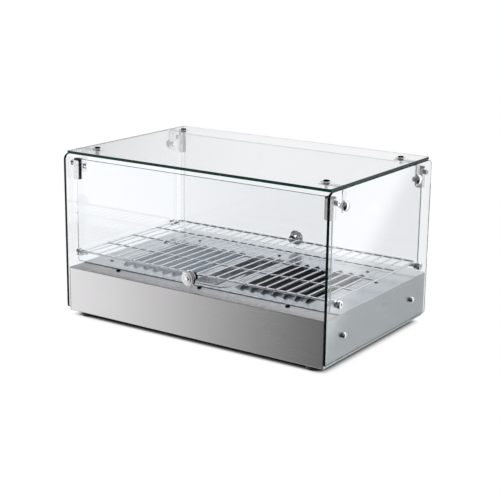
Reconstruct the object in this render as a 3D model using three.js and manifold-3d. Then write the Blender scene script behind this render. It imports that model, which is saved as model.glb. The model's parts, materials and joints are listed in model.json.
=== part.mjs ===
// Countertop hot food display case: a heated stainless steel base with a louvred deck under a
// glass box, one flap door at the front and one at the rear, and a wire rack inside.
// Millimetres, +Z up. X is the width, the front faces -Y, and the rubber feet stand on Z = 0.

import * as THREE from 'three';
import { mergeVertices } from 'three/addons/utils/BufferGeometryUtils.js';
import Module from 'manifold-3d';

const wasm = await Module();
wasm.setup();

// ---- Driving dimensions ------------------------------------------------------------------

const GAP = 0.3;                // air left between pieces that rest on each other
const SHEET = 1.2;              // stainless sheet of the base

// Glass box
const WIDTH = 554;              // over the outer faces of the side panes
const DEPTH = 360;              // side panes, front edge to rear edge
const GLASS_TOP = 308;          // upper face of the top pane
const GLASS = 5;                // top and side panes
const TOP_PANE_WIDTH = 549;
const TOP_PANE_DEPTH = 349.4;
const PANE_BOTTOM = 15.5;       // lower edge of the side panes
const PANE_TOP_RADIUS = 11;
const PANE_INNER_X = WIDTH / 2 - GLASS;
const FITTING_HOLE = 4;         // radius of the drilled holes in the glass

// Flap doors
const DOOR_GLASS = 4;
const DOOR_Y = 157;             // middle of the door glass, and the pivot line
const DOOR_HALF_WIDTH = 266.2;
const DOOR_BOTTOM = 101;
const DOOR_TOP = 292;
const PIVOT_Z = 283.7;
const KNOB_Z = 116.8;
const KNOB_HOLE = 3;

// Base
const FOOT_HEIGHT = 9.5;        // underside of the base above the ground
const STRIP_TOP = 92;           // top of the front and rear panels
const DECK_BOTTOM = STRIP_TOP + GAP;
const DECK_TOP = DECK_BOTTOM + SHEET;
const BASE_X = PANE_INNER_X - GAP;
const BASE_Y = 177.5;
const STRIP_DEPTH = 41;         // bare strip of the front panel's flange, in front of the deck
const STRIP_OVERLAP = 10;       // flange that carries on under the deck
const DECK_FRONT = -BASE_Y + STRIP_DEPTH;
const PANEL_X = BASE_X - SHEET - GAP;

// Louvres in the deck: two mirrored groups beside the water pan
const LOUVRE_COUNT = 7;
const LOUVRE_FIRST_X = 63;
const LOUVRE_PITCH = 22.3;
const LOUVRE_WIDTH = 14.5;
const LOUVRE_HEIGHT = 5.6;
const LOUVRE_FRONT = -112;
const LOUVRE_REAR = 86;

// Water pan
const PAN_X = 35;
const PAN_FRONT = -119;
const PAN_REAR = 88;
const PAN_DEPTH = 30;
const PAN_SHEET = 1;
const PAN_RIM = 6;
const PAN_RADIUS = 13;

// Heater box under the deck
const TRAY_X = 223;
const TRAY_FRONT = -122;
const TRAY_REAR = 99;
const TRAY_BOTTOM = 40;
const ELEMENT_RADIUS = 4;
const ELEMENT_Z = 66;
const ELEMENT_X = [75, 185];
const ELEMENT_FRONT = -96;
const ELEMENT_REAR = 113;

// Screw places, seen from above
const STRIP_SCREWS = { x: [-182, 0, 182], y: -145.5 };
const DECK_SCREWS = { x: [-187, 0, 187], y: 115 };
const TRAY_SCREWS = { x: [-233, 233], y: [-101, 63] };
const SCREW_HOLE = 2.4;

// Glass fittings
const FITTING_Y = 129.5;        // brackets and their bolts
const BRACKET_SHEET = 2.2;
const TOP_BOLT_X = 240;
const SIDE_BOLT_Z = 273.8;
const BASE_BOLT_Y = 122.5;
const BASE_BOLT_Z = 54.6;
const STUD_Y = 143;
const STUD_Z = 112.8;
const STUD_RADIUS = 3;

// Wire rack
const RACK_X = 264;             // centre line of the outer loop
const RACK_Y = 149.5;
const LOOP_WIRE = 2;            // radii
const CROSS_WIRE = 1.7;
const DECK_WIRE = 1.25;
const DECK_WIRE_SIDES = 4;
const RACK_Z = STUD_Z + STUD_RADIUS + GAP + LOOP_WIRE;
const RACK_CORNER = 8;
const RACK_BAYS = 26;
const CROSS_BAYS = 4;
const WELD = 0.3;               // how far welded wires sink into each other

// Controls on the rear panel
const CONTROL_Z = 50;
const THERMOSTAT_X = -150;
const LAMP_X = -105;
const SWITCH_X = -70;
const GLAND_X = 205;
const VENTS = { count: 8, firstX: -30, pitch: 22, length: 14, z: 68, height: 4 };
const SWITCH_TILT = THREE.MathUtils.degToRad(7);

const FOOT_X = 243;
const FOOT_Y = 157;
const FOOT_RADIUS = 14;

// ---- Materials ---------------------------------------------------------------------------

const finish = (color, roughness, metalness, more = {}) =>
  new THREE.MeshStandardMaterial({ color, roughness, metalness, ...more });

const STEEL = finish(0xb9bcc0, 0.35, 1);
const BRIGHT_STEEL = finish(0xc9ccd0, 0.22, 1);
const CHROME = finish(0xe2e4e8, 0.08, 1);
const CLEAR_GLASS = finish(0xdfeaec, 0.03, 0, { transparent: true, opacity: 0.3 });
const RUBBER = finish(0x151515, 0.8, 0);
const BLACK_PLASTIC = finish(0x1c1c1e, 0.45, 0);
const HEATER_METAL = finish(0x6a6460, 0.5, 1);
const CREAM_PLASTIC = finish(0xd8d2c2, 0.5, 0);
const AMBER = finish(0xe07a18, 0.2, 0);
const ZINC = finish(0xa8aaac, 0.45, 1);

// ---- Geometry helpers --------------------------------------------------------------------

const X = new THREE.Vector3(1, 0, 0);
const Y = new THREE.Vector3(0, 1, 0);
const Z = new THREE.Vector3(0, 0, 1);
const SIDES = [['left', -1], ['right', 1]];
const ENDS = [['front', -1], ['rear', 1]];

function toSolid(geometry) {
  const bare = geometry.clone();
  bare.deleteAttribute('normal');
  bare.deleteAttribute('uv');
  const merged = mergeVertices(bare, 1e-4);
  const index = merged.index.array;
  const triangles = [];
  for (let i = 0; i < index.length; i += 3) {
    const [a, b, c] = index.slice(i, i + 3);
    if (a !== b && b !== c && c !== a) {
      triangles.push(a, b, c);
    }
  }
  return new wasm.Manifold(new wasm.Mesh({
    numProp: 3,
    vertProperties: new Float32Array(merged.attributes.position.array),
    triVerts: new Uint32Array(triangles),
  }));
}

function toGeometry(solid) {
  const mesh = solid.getMesh();
  const geometry = new THREE.BufferGeometry();
  geometry.setAttribute('position', new THREE.Float32BufferAttribute(mesh.vertProperties, 3));
  geometry.setIndex(Array.from(mesh.triVerts));
  geometry.computeVertexNormals();
  return geometry;
}

// A body made of one geometry, others joined on, and others cut away.
function build(first, joined = [], cut = []) {
  let solid = toSolid(first);
  for (const geometry of joined) {
    solid = solid.add(toSolid(geometry));
  }
  for (const geometry of cut) {
    solid = solid.subtract(toSolid(geometry));
  }
  return toGeometry(solid);
}

function box([x0, x1], [y0, y1], [z0, z1]) {
  const geometry = new THREE.BoxGeometry(Math.abs(x1 - x0), Math.abs(y1 - y0), Math.abs(z1 - z0));
  return geometry.translate((x0 + x1) / 2, (y0 + y1) / 2, (z0 + z1) / 2);
}

function roundedRectangle([u0, u1], [v0, v1], lowRadius, highRadius = lowRadius) {
  const quarter = Math.PI / 2;
  const shape = new THREE.Shape();
  shape.moveTo(u0 + lowRadius, v0);
  shape.absarc(u1 - lowRadius, v0 + lowRadius, lowRadius, -quarter, 0);
  shape.absarc(u1 - highRadius, v1 - highRadius, highRadius, 0, quarter);
  shape.absarc(u0 + highRadius, v1 - highRadius, highRadius, quarter, 2 * quarter);
  shape.absarc(u0 + lowRadius, v0 + lowRadius, lowRadius, 2 * quarter, 3 * quarter);
  return shape;
}

function outline(points) {
  return new THREE.Shape(points.map(([u, v]) => new THREE.Vector2(u, v)));
}

function roundHole(u, v, radius, sides = 10) {
  const points = [];
  for (let i = 0; i < sides; i += 1) {
    const angle = (-i / sides) * 2 * Math.PI;
    points.push(new THREE.Vector2(u + radius * Math.cos(angle), v + radius * Math.sin(angle)));
  }
  return new THREE.Path(points);
}

function withHoles(shape, holes) {
  shape.holes.push(...holes);
  return shape;
}

function extrude(shape, depth, curveSegments) {
  return new THREE.ExtrudeGeometry(shape, { depth, bevelEnabled: false, curveSegments });
}

// The outline (y, z) runs from x0 to x1.
function alongX(shape, x0, x1, curveSegments = 2) {
  const turn = new THREE.Matrix4().makeBasis(Y, Z, X);
  return extrude(shape, x1 - x0, curveSegments).applyMatrix4(turn).translate(x0, 0, 0);
}

// The outline (x, z) runs from y0 to y1.
function alongY(shape, y0, y1, curveSegments = 2) {
  const turn = new THREE.Matrix4().makeBasis(X, Z, Y.clone().negate());
  return extrude(shape, y1 - y0, curveSegments).applyMatrix4(turn).translate(0, y1, 0);
}

// The outline (x, y) runs from z0 to z1.
function alongZ(shape, z0, z1, curveSegments = 2) {
  return extrude(shape, z1 - z0, curveSegments).translate(0, 0, z0);
}

// A turned body: [radius, height] pairs from the axis and back to it, rising along the direction.
function turned(profile, direction, sides = 10) {
  const points = profile.map(([radius, height]) => new THREE.Vector2(radius, height));
  const geometry = new THREE.LatheGeometry(points, sides);
  return geometry.applyQuaternion(new THREE.Quaternion().setFromUnitVectors(Y, direction));
}

// A straight round bar between two points, with flats on its top and bottom.
function rod(radius, from, to, sides = 8) {
  const start = new THREE.Vector3(...from);
  const span = new THREE.Vector3(...to).sub(start);
  const geometry = new THREE.CylinderGeometry(radius, radius, span.length(), sides);
  geometry.rotateY(Math.PI / sides);
  geometry.applyQuaternion(new THREE.Quaternion().setFromUnitVectors(Y, span.clone().normalize()));
  const middle = start.addScaledVector(span, 0.5);
  return geometry.translate(middle.x, middle.y, middle.z);
}

// A round bar bent along a curve, with flats like a straight one's.
function bentRod(radius, curve, steps, sides = 8) {
  const section = [];
  for (let i = 0; i < sides; i += 1) {
    const angle = ((i + 0.5) / sides) * 2 * Math.PI;
    section.push([radius * Math.cos(angle), radius * Math.sin(angle)]);
  }
  return new THREE.ExtrudeGeometry(outline(section), { steps, extrudePath: curve, bevelEnabled: false });
}

function piece(name, geometry, material, position = [0, 0, 0]) {
  const mesh = new THREE.Mesh(geometry, material);
  mesh.name = name;
  mesh.position.set(...position);
  return mesh;
}

function groupOf(pieces) {
  const group = new THREE.Group();
  group.add(...pieces);
  return group;
}

// ---- Base --------------------------------------------------------------------------------

// A channel section (y, z): a wall with a flange at the top and one at the bottom.
function channel(side, topFlange, bottomFlange) {
  const wall = side * BASE_Y;
  const inner = side * (BASE_Y - SHEET);
  return outline([
    [wall, FOOT_HEIGHT],
    [wall, STRIP_TOP],
    [side * (BASE_Y - topFlange), STRIP_TOP],
    [side * (BASE_Y - topFlange), STRIP_TOP - SHEET],
    [inner, STRIP_TOP - SHEET],
    [inner, FOOT_HEIGHT + SHEET],
    [side * (BASE_Y - bottomFlange), FOOT_HEIGHT + SHEET],
    [side * (BASE_Y - bottomFlange), FOOT_HEIGHT],
  ]);
}

function frontPanel() {
  const panel = alongX(channel(-1, STRIP_DEPTH + STRIP_OVERLAP, 12), -PANEL_X, PANEL_X);
  const holes = STRIP_SCREWS.x.map((x) =>
    rod(SCREW_HOLE, [x, STRIP_SCREWS.y, STRIP_TOP - 5], [x, STRIP_SCREWS.y, STRIP_TOP + 5], 12));
  return piece('front_panel', build(panel, [], holes), STEEL);
}

function rearPanel() {
  const panel = alongX(channel(1, 24, 12), -PANEL_X, PANEL_X);
  const through = [BASE_Y - 10, BASE_Y + 10];
  const drilled = (x, radius) =>
    rod(radius, [x, through[0], CONTROL_Z], [x, through[1], CONTROL_Z], 16);
  const cuts = [
    drilled(THERMOSTAT_X, 4.5),
    drilled(LAMP_X, 5.2),
    drilled(GLAND_X, 7.4),
    box([SWITCH_X - 7, SWITCH_X + 7], through, [CONTROL_Z - 11, CONTROL_Z + 11]),
  ];
  for (let i = 0; i < VENTS.count; i += 1) {
    const x = VENTS.firstX + i * VENTS.pitch;
    cuts.push(box([x, x + VENTS.length], through, [VENTS.z, VENTS.z + VENTS.height]));
  }
  return piece('rear_panel', build(panel, [], cuts), STEEL);
}

function sidePanel(name, side) {
  const flange = 14;
  const wall = box([side * (BASE_X - SHEET), side * BASE_X], [-BASE_Y, BASE_Y], [FOOT_HEIGHT, STRIP_TOP]);
  const flangeX = [side * (BASE_X - flange), side * (BASE_X - SHEET / 2)];
  const topStart = -BASE_Y + STRIP_DEPTH + STRIP_OVERLAP + 1.5;
  const top = box(flangeX, [topStart, BASE_Y - 25], [STRIP_TOP - SHEET, STRIP_TOP]);
  const bottom = box(flangeX, [-BASE_Y + 15, BASE_Y - 15], [FOOT_HEIGHT, FOOT_HEIGHT + SHEET]);
  const holes = ENDS.map(([, end]) => rod(
    FITTING_HOLE,
    [side * (BASE_X - 10), end * BASE_BOLT_Y, BASE_BOLT_Z],
    [side * (BASE_X + 10), end * BASE_BOLT_Y, BASE_BOLT_Z],
    12,
  ));
  return piece(`${name}_side_panel`, build(wall, [top, bottom], holes), STEEL);
}

function bottomPlate() {
  const z0 = FOOT_HEIGHT + SHEET + GAP;
  const plate = box([-PANEL_X, PANEL_X], [-BASE_Y + 1.6, BASE_Y - 1.6], [z0, z0 + SHEET]);
  const through = [z0 - 5, z0 + 5];
  const cuts = [];
  for (const [, side] of SIDES) {
    for (const [, end] of ENDS) {
      const [x, y] = [side * FOOT_X, end * FOOT_Y];
      cuts.push(rod(4.6, [x, y, through[0]], [x, y, through[1]], 10));
    }
    for (let i = 0; i < 6; i += 1) {
      const x = side * (60 + i * 30);
      cuts.push(box([x - 3, x + 3], [-70, 60], through));
    }
  }
  return piece('bottom_plate', build(plate, [], cuts), ZINC);
}

// A sphere pulled out along Y: the rounded body that a louvre is pressed over.
function longDome(width, height, halfLength) {
  const dome = new THREE.SphereGeometry(1, 12, 5);
  dome.scale(width, width, height);
  const positions = dome.attributes.position;
  for (let i = 0; i < positions.count; i += 1) {
    const y = positions.getY(i);
    positions.setY(i, y + Math.sign(y) * (halfLength - width));
  }
  return dome;
}

// The louvre's hood, and the space under it, open towards the given side.
function louvre(x, side) {
  const middle = (LOUVRE_FRONT + LOUVRE_REAR) / 2;
  const halfLength = (LOUVRE_REAR - LOUVRE_FRONT) / 2;
  const place = (dome) => toSolid(dome.translate(x, middle, DECK_TOP));
  const far = -side * 2 * LOUVRE_WIDTH;
  const run = [LOUVRE_FRONT - 5, LOUVRE_REAR + 5];
  const sideOf = (lip, low) => toSolid(box([x + far, x + side * lip], run, [low, DECK_TOP + 20]));
  const skin = 1.1;
  const hood = place(longDome(LOUVRE_WIDTH, LOUVRE_HEIGHT, halfLength))
    .intersect(sideOf(0, DECK_TOP - SHEET / 2));
  const space = place(longDome(LOUVRE_WIDTH - skin, LOUVRE_HEIGHT - skin, halfLength - skin))
    .intersect(sideOf(0.5, DECK_TOP - 5));
  return { hood, space };
}

function deckPlate() {
  const panHole = roundedRectangle(
    [-PAN_X - 1, PAN_X + 1],
    [PAN_FRONT - 1, PAN_REAR + 1],
    PAN_RADIUS,
  );
  const holes = [panHole];
  for (const x of DECK_SCREWS.x) {
    holes.push(roundHole(x, DECK_SCREWS.y, SCREW_HOLE));
  }
  for (const x of TRAY_SCREWS.x) {
    for (const y of TRAY_SCREWS.y) {
      holes.push(roundHole(x, y, SCREW_HOLE));
    }
  }
  const sheet = roundedRectangle([-BASE_X, BASE_X], [DECK_FRONT, BASE_Y], 0.8);
  let deck = toSolid(alongZ(withHoles(sheet, holes), DECK_BOTTOM, DECK_TOP));
  for (const [, side] of SIDES) {
    for (let i = 0; i < LOUVRE_COUNT; i += 1) {
      const { hood, space } = louvre(side * (LOUVRE_FIRST_X + i * LOUVRE_PITCH), side);
      deck = deck.add(hood).subtract(space);
    }
  }
  return piece('deck_plate', toGeometry(deck), STEEL);
}

function waterPan() {
  const rimBottom = DECK_TOP + GAP;
  const rimTop = rimBottom + PAN_SHEET;
  const bottom = rimTop - PAN_DEPTH;
  const footprint = (offset) => roundedRectangle(
    [-PAN_X - offset, PAN_X + offset],
    [PAN_FRONT - offset, PAN_REAR + offset],
    PAN_RADIUS + offset,
  );
  const rim = alongZ(footprint(PAN_RIM), rimBottom, rimTop);
  const basin = alongZ(footprint(0), bottom, rimTop - PAN_SHEET / 2);
  const inside = alongZ(footprint(-PAN_SHEET), bottom + PAN_SHEET, rimTop + 5);
  return piece('water_pan', build(rim, [basin], [inside]), BRIGHT_STEEL);
}

function heaterTray() {
  const top = STRIP_TOP - SHEET - GAP;
  const wall = box([-TRAY_X, TRAY_X], [TRAY_FRONT, TRAY_REAR], [TRAY_BOTTOM, top]);
  const flangeZ = [top - SHEET, top];
  const sideFlange = box([-250, 250], [TRAY_FRONT, TRAY_REAR], flangeZ);
  const rearFlange = box([-215, 215], [TRAY_REAR - 5, TRAY_REAR + 24], flangeZ);
  const hollow = box(
    [-TRAY_X + SHEET, TRAY_X - SHEET],
    [TRAY_FRONT + SHEET, TRAY_REAR - SHEET],
    [TRAY_BOTTOM + SHEET, top + 5],
  );
  const exits = [];
  for (const [, side] of SIDES) {
    for (const x of ELEMENT_X) {
      exits.push(rod(
        ELEMENT_RADIUS + 1,
        [side * x, TRAY_REAR - 10, ELEMENT_Z],
        [side * x, TRAY_REAR + 10, ELEMENT_Z],
        12,
      ));
    }
  }
  return piece('heater_tray', build(wall, [sideFlange, rearFlange], [hollow, ...exits]), ZINC);
}

// A U of tubular heater with both ends at the rear.
function heatingElement(name, side) {
  const [inner, outer] = ELEMENT_X.map((x) => side * x);
  const bend = 22;
  const at = (x, y) => new THREE.Vector3(x, y, ELEMENT_Z);
  const innerBend = [
    at(inner, ELEMENT_FRONT + bend),
    at(inner, ELEMENT_FRONT),
    at(inner + side * bend, ELEMENT_FRONT),
  ];
  const outerBend = [
    at(outer - side * bend, ELEMENT_FRONT),
    at(outer, ELEMENT_FRONT),
    at(outer, ELEMENT_FRONT + bend),
  ];
  const route = new THREE.CurvePath();
  route.add(new THREE.LineCurve3(at(inner, ELEMENT_REAR), innerBend[0]));
  route.add(new THREE.QuadraticBezierCurve3(...innerBend));
  route.add(new THREE.LineCurve3(innerBend[2], outerBend[0]));
  route.add(new THREE.QuadraticBezierCurve3(...outerBend));
  route.add(new THREE.LineCurve3(outerBend[2], at(outer, ELEMENT_REAR)));
  return piece(`${name}_heating_element`, bentRod(ELEMENT_RADIUS, route, 32), HEATER_METAL);
}

function foot(name, x, y) {
  const top = FOOT_HEIGHT - GAP;
  const profile = [
    [0, 0], [FOOT_RADIUS - 1.5, 0], [FOOT_RADIUS, 1.5], [FOOT_RADIUS - 1, top],
    [4, top], [4, top + 5.5], [0, top + 5.5],
  ];
  return piece(`${name}_foot`, turned(profile, Z, 20), RUBBER, [x, y, 0]);
}

// ---- Rear controls -----------------------------------------------------------------------

function thermostatBody() {
  const rear = BASE_Y - SHEET - GAP;
  const centre = [THERMOSTAT_X, CONTROL_Z];
  const shell = roundedRectangle([centre[0] - 21, centre[0] + 21], [centre[1] - 20, centre[1] + 20], 3);
  const bore = rod(3.5, [centre[0], rear - 12, centre[1]], [centre[0], rear + 5, centre[1]], 12);
  return piece('thermostat_body', build(alongY(shell, rear - 34, rear, 1), [], [bore]), CREAM_PLASTIC);
}

function thermostatShaft() {
  const start = BASE_Y - 12;
  const length = 20.5;
  const profile = [[0, 0], [3, 0], [3, length], [0, length]];
  return piece('thermostat_shaft', turned(profile, Y, 12), ZINC, [THERMOSTAT_X, start, CONTROL_Z]);
}

function thermostatKnob() {
  const profile = [[0, 0], [18, 0], [18, 1.6], [15.5, 3.2], [14, 11], [12.8, 12], [0, 12]];
  const pointer = box([-1.2, 1.2], [10.5, 12.2], [3, 13.4]);
  const bore = rod(3.5, [0, -5, 0], [0, 8.8, 0], 12);
  const flutes = [];
  for (let i = 0; i < 12; i += 1) {
    const angle = ((i + 0.5) / 12) * 2 * Math.PI;
    const [x, z] = [16.2 * Math.sin(angle), 16.2 * Math.cos(angle)];
    flutes.push(rod(2.6, [x, 3.6, z], [x, 14, z], 6));
  }
  const body = build(turned(profile, Y, 24), [pointer], [bore, ...flutes]);
  return piece('thermostat_knob', body, BLACK_PLASTIC, [THERMOSTAT_X, BASE_Y + GAP, CONTROL_Z]);
}

function pilotLamp() {
  const profile = [
    [0, -16], [4.4, -16], [4.4, GAP], [7, GAP], [7, 1.8], [5.2, 2.2], [4.6, 4], [3, 5.4], [0, 6],
  ];
  return piece('pilot_lamp', turned(profile, Y), AMBER, [LAMP_X, BASE_Y, CONTROL_Z]);
}

function switchHousing() {
  const bezel = roundedRectangle([-8, 8], [-12, 12], 1.5);
  const body = box([-6.6, 6.6], [-20, 0.5], [-10.6, 10.6]);
  const well = box([-5.4, 5.4], [-7, 5], [-9.4, 9.4]);
  const shape = build(alongY(bezel, GAP, 1.9, 1), [body], [well]);
  return piece('switch_housing', shape, BLACK_PLASTIC, [SWITCH_X, BASE_Y, CONTROL_Z]);
}

// The rocker turns about X through its own origin, and lies in the off position.
function switchRocker() {
  const section = outline([
    [0, -3], [1.6, -3], [2.2, -8.6], [4.2, -8.6], [2.6, 0], [4.2, 8.6], [2.2, 8.6], [1.6, 3], [0, 3],
  ]);
  const rocker = piece('switch_rocker', alongX(section, -4.9, 4.9), BLACK_PLASTIC);
  rocker.position.set(SWITCH_X, BASE_Y - 2.4, CONTROL_Z);
  rocker.rotation.x = -SWITCH_TILT;
  return rocker;
}

function terminalBlock() {
  const floor = FOOT_HEIGHT + 2 * SHEET + 2 * GAP;
  const body = box([100, 142], [130, 150], [floor, floor + 18]);
  const entries = [107, 121, 135].map((x) =>
    box([x - 3.5, x + 3.5], [125, 155], [floor + 5, floor + 12]));
  const screws = [107, 121, 135].map((x) => rod(2.5, [x, 140, floor + 15], [x, 140, floor + 25], 10));
  return piece('terminal_block', build(body, [], [...entries, ...screws]), CREAM_PLASTIC);
}

// A bushing with a clear hole for the supply cord, and its nut inside the panel.
function cordGland() {
  const bore = 4.2;
  const inside = -SHEET - GAP;
  const profile = [
    [bore, -14], [7, -14], [7, -9], [10, -9], [10, inside], [7, inside], [7, GAP],
    [11, GAP], [11, 3.5], [8.5, 4.5], [7.5, 11.5], [bore, 11.5], [bore, -14],
  ];
  return piece('cord_gland', turned(profile, Y, 16), BLACK_PLASTIC, [GLAND_X, BASE_Y, CONTROL_Z]);
}

// ---- Fixed glass and its fittings --------------------------------------------------------

function sidePane(name, side) {
  const holes = [];
  for (const [, end] of ENDS) {
    holes.push(roundHole(end * FITTING_Y, SIDE_BOLT_Z, FITTING_HOLE));
    holes.push(roundHole(end * DOOR_Y, PIVOT_Z, FITTING_HOLE));
    holes.push(roundHole(end * STUD_Y, STUD_Z, FITTING_HOLE));
    holes.push(roundHole(end * BASE_BOLT_Y, BASE_BOLT_Z, FITTING_HOLE));
  }
  const top = GLASS_TOP - GLASS - GAP;
  const sheet = roundedRectangle([-DEPTH / 2, DEPTH / 2], [PANE_BOTTOM, top], 4, PANE_TOP_RADIUS);
  const [inner, outer] = [PANE_INNER_X, WIDTH / 2].map((x) => side * x).sort((a, b) => a - b);
  return piece(`${name}_pane`, alongX(withHoles(sheet, holes), inner, outer, 3), CLEAR_GLASS);
}

function topPane() {
  const holes = [];
  for (const [, side] of SIDES) {
    for (const [, end] of ENDS) {
      holes.push(roundHole(side * TOP_BOLT_X, end * FITTING_Y, FITTING_HOLE));
    }
  }
  const x = TOP_PANE_WIDTH / 2;
  const y = TOP_PANE_DEPTH / 2;
  const sheet = roundedRectangle([-x, x], [-y, y], 4);
  return piece('top_pane', alongZ(withHoles(sheet, holes), GLASS_TOP - GLASS, GLASS_TOP), CLEAR_GLASS);
}

// An angle of bright strip: one leg under the top pane, one down the side pane.
function bracket(name, side, end) {
  const half = 6;
  const beyondBolt = 11;
  const hole = 3.3;
  const top = GLASS_TOP - GLASS - GAP - GAP;
  const outer = side * (PANE_INNER_X - GAP);
  const middle = end * FITTING_Y;
  const y = [middle - half, middle + half];
  const across = box([side * (TOP_BOLT_X - beyondBolt), outer], y, [top - BRACKET_SHEET, top]);
  const down = box([outer - side * BRACKET_SHEET, outer], y, [SIDE_BOLT_Z - beyondBolt, top]);
  const x = side * TOP_BOLT_X;
  const holes = [
    rod(hole, [x, middle, top - 9], [x, middle, top + 9], 12),
    rod(hole, [outer - 9, middle, SIDE_BOLT_Z], [outer + 9, middle, SIDE_BOLT_Z], 12),
  ];
  return piece(`${name}_bracket`, build(across, [down], holes), BRIGHT_STEEL);
}

// Height 0 is the outer face of the glass. The nut sits under the bracket.
function bracketBolt(capHeight) {
  const bracketFace = -GLASS - 2 * GAP - BRACKET_SHEET - GAP;
  return [
    [0, bracketFace - 6], [5, bracketFace - 6], [5, bracketFace], [2.8, bracketFace],
    [2.8, GAP], [9, GAP], [9, GAP + capHeight * 0.35], [5, GAP + capHeight * 0.9],
    [0, GAP + capHeight],
  ];
}

function topBolt(name, side, end) {
  const place = [side * TOP_BOLT_X, end * FITTING_Y, GLASS_TOP];
  return piece(`${name}_top_bolt`, turned(bracketBolt(3.6), Z), CHROME, place);
}

function sideBolt(name, side, end) {
  const place = [side * WIDTH / 2, end * FITTING_Y, SIDE_BOLT_Z];
  const outward = X.clone().multiplyScalar(side);
  return piece(`${name}_side_bolt`, turned(bracketBolt(5), outward), CHROME, place);
}

function rackStud(name, side, end) {
  const inner = -GLASS - GAP;
  const profile = [
    [0, inner - 15.7], [STUD_RADIUS, inner - 15.7], [STUD_RADIUS, inner - 4], [6, inner - 4],
    [6, inner], [STUD_RADIUS, inner], [STUD_RADIUS, GAP], [7.5, GAP], [7.5, 4.6], [6.4, 5.8],
    [0, 5.8],
  ];
  const outward = X.clone().multiplyScalar(side);
  const place = [side * WIDTH / 2, end * STUD_Y, STUD_Z];
  return piece(`${name}_rack_stud`, turned(profile, outward), CHROME, place);
}

function baseBolt(name, side, end) {
  const panelFace = -GLASS - SHEET - 2 * GAP;
  const profile = [
    [0, panelFace - 5], [5, panelFace - 5], [5, panelFace - GAP], [2.8, panelFace - GAP],
    [2.8, GAP], [5.5, GAP], [5.5, 1.6], [4, 3.8], [0, 4.6],
  ];
  const outward = X.clone().multiplyScalar(side);
  const place = [side * WIDTH / 2, end * BASE_BOLT_Y, BASE_BOLT_Z];
  return piece(`${name}_base_bolt`, turned(profile, outward), CHROME, place);
}

// ---- Doors -------------------------------------------------------------------------------

const WEB_OUTER = DOOR_HALF_WIDTH + 3.5;

function hingePivot(name, side, end) {
  const collarOuter = -GLASS - GAP;
  const collarInner = WEB_OUTER + 0.4 - WIDTH / 2;
  const tip = DOOR_HALF_WIDTH + 0.8 - WIDTH / 2;
  const profile = [
    [0, tip], [2, tip], [2, collarInner], [4.6, collarInner], [4.6, collarOuter], [3.2, collarOuter],
    [3.2, GAP], [5.3, GAP], [5.3, 2.2], [4.4, 3.2], [0, 3.2],
  ];
  const outward = X.clone().multiplyScalar(side);
  const place = [side * WIDTH / 2, end * DOOR_Y, PIVOT_Z];
  return piece(`${name}_hinge_pivot`, turned(profile, outward), CHROME, place);
}

// A clip that grips the door glass at its upper corner and turns on the pivot.
function hingeClip(name, side, end) {
  const halfDepth = 5;
  const reach = 10.2;
  const length = 38;
  const slot = DOOR_GLASS / 2 + 0.4;
  const y = end * DOOR_Y;
  const inner = side * (DOOR_HALF_WIDTH - reach);
  const bottom = DOOR_TOP - length;
  const top = DOOR_TOP + 0.6;
  const body = box([inner, side * WEB_OUTER], [y - halfDepth, y + halfDepth], [bottom, top]);
  const grooveEnd = side * (DOOR_HALF_WIDTH + 0.4);
  const groove = box([inner - side * 5, grooveEnd], [y - slot, y + slot], [bottom - 5, top + 5]);
  const boreRun = [DOOR_HALF_WIDTH - 2, WEB_OUTER + 5].map((x) => [side * x, y, PIVOT_Z]);
  const bore = rod(2.5, ...boreRun, 12);
  return piece(`${name}_hinge_clip`, build(body, [], [groove, bore]), BRIGHT_STEEL);
}

function doorPane(name, end) {
  const sheet = roundedRectangle([-DOOR_HALF_WIDTH, DOOR_HALF_WIDTH], [DOOR_BOTTOM, DOOR_TOP], 3);
  withHoles(sheet, [roundHole(0, KNOB_Z, KNOB_HOLE)]);
  const middle = end * DOOR_Y;
  const pane = alongY(sheet, middle - DOOR_GLASS / 2, middle + DOOR_GLASS / 2);
  return piece(`${name}_door_pane`, pane, CLEAR_GLASS);
}

function doorKnob(name, end) {
  const profile = [
    [0, 10], [2.4, 10], [2.4, GAP], [7, GAP], [7, 1.6], [4.2, 3], [4.2, 10], [7, 13.5],
    [13.2, 15], [15, 16.6], [15, 19], [11.6, 21], [10.9, 22.4], [6.4, 24.2], [0, 25.2],
  ];
  const outward = Y.clone().multiplyScalar(end);
  const place = [0, end * (DOOR_Y + DOOR_GLASS / 2), KNOB_Z];
  return piece(`${name}_door_knob`, turned(profile, outward, 18), CHROME, place);
}

function knobScrew(name, end) {
  const glassFace = -DOOR_GLASS - GAP;
  const profile = [
    [0, glassFace - 2.7], [3, glassFace - 2.7], [4.5, glassFace - 1.4], [4.5, glassFace],
    [1.9, glassFace], [1.9, 9.2], [0, 9.2],
  ];
  const outward = Y.clone().multiplyScalar(end);
  const place = [0, end * (DOOR_Y + DOOR_GLASS / 2), KNOB_Z];
  return piece(`${name}_knob_screw`, turned(profile, outward), CHROME, place);
}

// ---- Wire rack ---------------------------------------------------------------------------

function rackCorner(side, end) {
  const centre = [side * (RACK_X - RACK_CORNER), end * (RACK_Y - RACK_CORNER)];
  const arc = new THREE.Curve();
  arc.getPoint = (t, target = new THREE.Vector3()) => target.set(
    centre[0] + side * RACK_CORNER * Math.cos(t * Math.PI / 2),
    centre[1] + end * RACK_CORNER * Math.sin(t * Math.PI / 2),
    0,
  );
  return bentRod(LOOP_WIRE + 0.15, arc, 4);
}

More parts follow.
